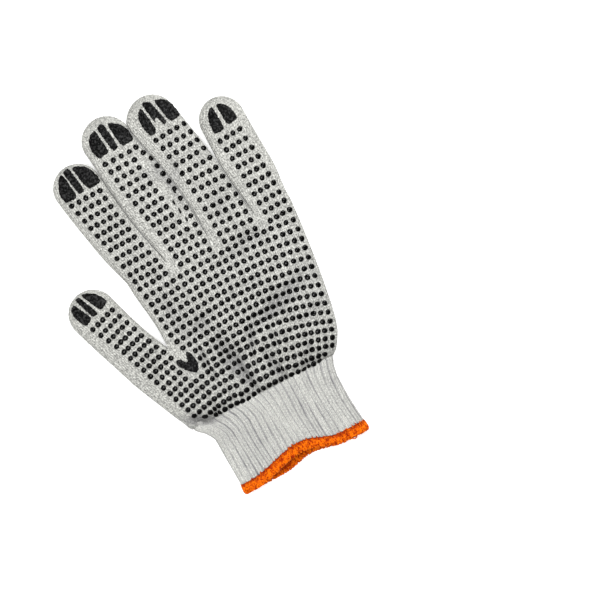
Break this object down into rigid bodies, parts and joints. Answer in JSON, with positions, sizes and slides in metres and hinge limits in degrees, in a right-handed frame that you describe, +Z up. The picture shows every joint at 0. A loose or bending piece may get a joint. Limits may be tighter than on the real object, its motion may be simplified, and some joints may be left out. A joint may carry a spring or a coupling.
{
  "type": "cotton work glove",
  "caption": "Left-hand string-knit cotton work glove with a dotted rubber grip on the palm side, a ribbed cuff and an overlocked hem.",
  "frame": {"origin": "middle of the glove's footprint, on the surface that it lies on", "axes": "+Y from the cuff to the fingertips, +X from the thumb side to the little-finger side, +Z up out of the palm"},
  "size_m": [0.1474, 0.2338, 0.0139],
  "materials": {
    "cotton_knit": "matt string knit, off-white",
    "cotton_rib": "matt ribbed knit, off-white",
    "overlock_thread": "orange overlock thread",
    "grip_rubber": "satin black, raised"
  },
  "bodies": {
    "root": {"wrist_cuff": "cotton_rib", "hem_edging": "overlock_thread", "lower_palm": "cotton_knit", "upper_palm": "cotton_knit", "index_finger": "cotton_knit", "middle_finger": "cotton_knit", "ring_finger": "cotton_knit", "little_finger": "cotton_knit", "thumb": "cotton_knit", "index_finger_grip_left": "grip_rubber", "index_finger_grip_middle": "grip_rubber", "index_finger_grip_right": "grip_rubber", "middle_finger_grip_left": "grip_rubber", "middle_finger_grip_middle": "grip_rubber", "middle_finger_grip_right": "grip_rubber", "ring_finger_grip_left": "grip_rubber", "ring_finger_grip_middle": "grip_rubber", "ring_finger_grip_right": "grip_rubber", "little_finger_grip_left": "grip_rubber", "little_finger_grip_right": "grip_rubber", "thumb_grip_left": "grip_rubber", "thumb_grip_middle": "grip_rubber", "thumb_grip_right": "grip_rubber", "thumb_crotch_grip": "grip_rubber"}
  },
  "joints": []
}
